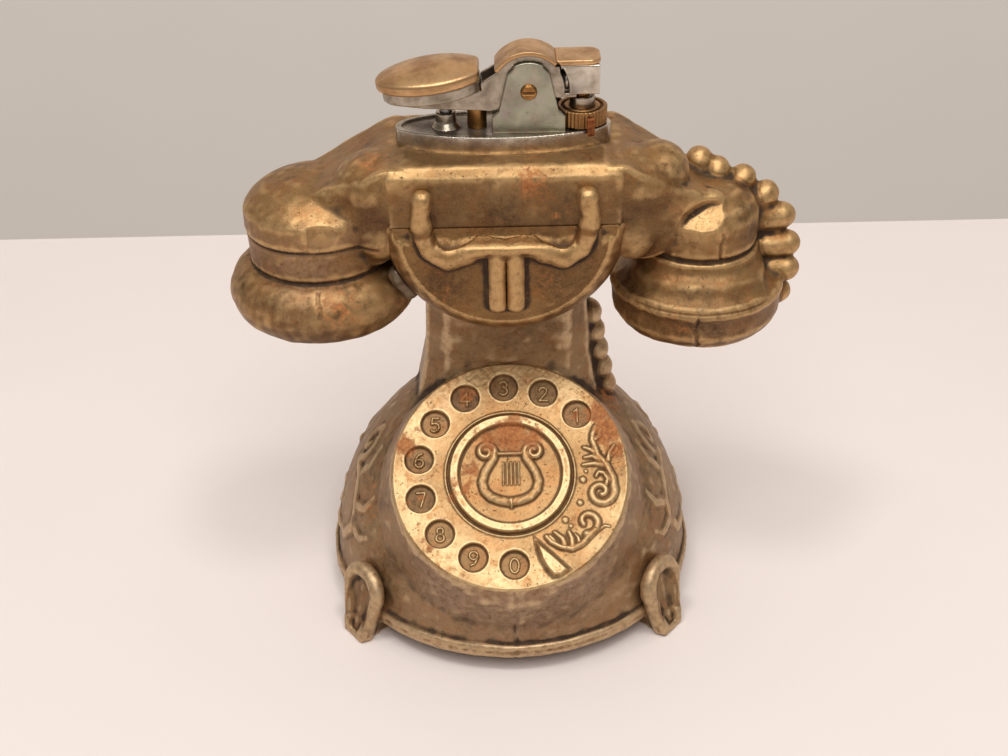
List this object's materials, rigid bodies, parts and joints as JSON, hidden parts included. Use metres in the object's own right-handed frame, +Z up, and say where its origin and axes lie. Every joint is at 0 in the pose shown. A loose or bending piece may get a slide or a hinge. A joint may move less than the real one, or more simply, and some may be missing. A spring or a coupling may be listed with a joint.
{
  "type": "novelty_table_lighter",
  "caption": "Cast-metal table lighter shaped like an antique dial telephone, with a drop-in gas lighter unit and thumb lever in the handset",
  "frame": {"origin": "on the table, at the centre of the object's footprint box", "axes": "+X to the mouthpiece and the burner, +Y to the back, +Z up; the dial faces -Y"},
  "size_m": [0.1238, 0.0889, 0.1288],
  "materials": {
    "base_casting": "worn_antique",
    "scroll_feet": "worn_antique",
    "dial_plate": "worn_antique",
    "lyre_medallion": "worn_antique",
    "cradle_casting": "worn_antique",
    "handset_casting": "worn_antique",
    "solder_joint": "rough",
    "deck_plate": "worn",
    "gas_tank": "satin",
    "filler_body": "satin",
    "filler_stem": "satin",
    "filler_spring": "satin",
    "flint_tube": "satin",
    "flint": "rough",
    "flint_spring": "satin",
    "flint_screw": "satin",
    "bracket": "worn",
    "bracket_rivets": "satin",
    "pivot_screw": "worn",
    "pivot_nut": "satin",
    "valve_body": "worn",
    "valve_seal": "matte",
    "burner_jet": "satin",
    "adjuster_ring": "worn",
    "adjuster_pointer": "rusty",
    "plunger_guide": "worn",
    "return_plunger": "satin",
    "return_spring": "satin",
    "stop_post": "worn",
    "lever_channel": "worn",
    "thumb_pad": "polished_worn",
    "pad_tray": "worn",
    "wheel_cover": "polished_worn",
    "snuffer_box": "worn",
    "snuffer_cap": "polished_worn",
    "snuffer_pad": "matte",
    "wheel_pawl": "satin",
    "spark_wheel": "rough",
    "ratchet_wheel": "satin"
  },
  "bodies": {
    "telephone": {"base_casting": "base_casting", "scroll_feet": "scroll_feet", "dial_plate": "dial_plate", "lyre_medallion": "lyre_medallion", "cradle_casting": "cradle_casting", "handset_casting": "handset_casting", "solder_joint": "solder_joint"},
    "insert": {"deck_plate": "deck_plate", "gas_tank": "gas_tank", "filler_body": "filler_body", "filler_spring": "filler_spring", "flint_tube": "flint_tube", "flint": "flint", "flint_spring": "flint_spring", "flint_screw": "flint_screw", "bracket": "bracket", "bracket_rivets": "bracket_rivets", "pivot_screw": "pivot_screw", "pivot_nut": "pivot_nut", "valve_body": "valve_body", "valve_seal": "valve_seal", "plunger_guide": "plunger_guide", "return_spring": "return_spring", "stop_post": "stop_post"},
    "lever": {"lever_channel": "lever_channel", "thumb_pad": "thumb_pad", "pad_tray": "pad_tray", "wheel_cover": "wheel_cover", "snuffer_box": "snuffer_box", "snuffer_cap": "snuffer_cap", "snuffer_pad": "snuffer_pad", "wheel_pawl": "wheel_pawl"},
    "wheel": {"spark_wheel": "spark_wheel", "ratchet_wheel": "ratchet_wheel"},
    "jet": {"burner_jet": "burner_jet"},
    "flame_ring": {"adjuster_ring": "adjuster_ring", "adjuster_pointer": "adjuster_pointer"},
    "plunger": {"return_plunger": "return_plunger"},
    "filler": {"filler_stem": "filler_stem"}
  },
  "joints": [
    {"name": "insert_lift", "type": "slide", "parent": "telephone", "child": "insert", "axis": [0, 0, 1], "range_m": [0, 0.026]},
    {"name": "lever_pivot", "type": "hinge", "parent": "insert", "child": "lever", "pos_m": [0.0031, 0.0014, 0.1207], "axis": [0, -1, 0], "range_deg": [0, 9], "stiffness_Nm_per_rad": 0.05, "springref_deg": -8.59},
    {"name": "wheel_spin", "type": "hinge", "parent": "insert", "child": "wheel", "pos_m": [0.0031, 0.0014, 0.1207], "axis": [0, -1, 0], "range_deg": [0, 9]},
    {"name": "jet_lift", "type": "slide", "parent": "insert", "child": "jet", "axis": [0, 0, 1], "range_m": [0, 0.0011]},
    {"name": "plunger_press", "type": "slide", "parent": "insert", "child": "plunger", "axis": [0, 0, -1], "range_m": [0, 0.0028], "deforming": ["return_spring"]},
    {"name": "flame_adjust", "type": "hinge", "parent": "insert", "child": "flame_ring", "pos_m": [0.014, 0.0014, 0.1143], "axis": [0, 0, 1], "range_deg": [0, 30]},
    {"name": "filler_press", "type": "slide", "parent": "insert", "child": "filler", "axis": [0, 0, 1], "range_m": [0, 0.001], "stiffness_N_per_m": 20, "springref_m": -0.001, "deforming": ["filler_spring"]}
  ],
  "couplings": [
    {"joint": "wheel_spin", "follows": "lever_pivot", "ratio": 1},
    {"joint": "jet_lift", "follows": "lever_pivot", "m_per_rad": 0.007},
    {"joint": "plunger_press", "follows": "lever_pivot", "m_per_rad": 0.0177}
  ]
}
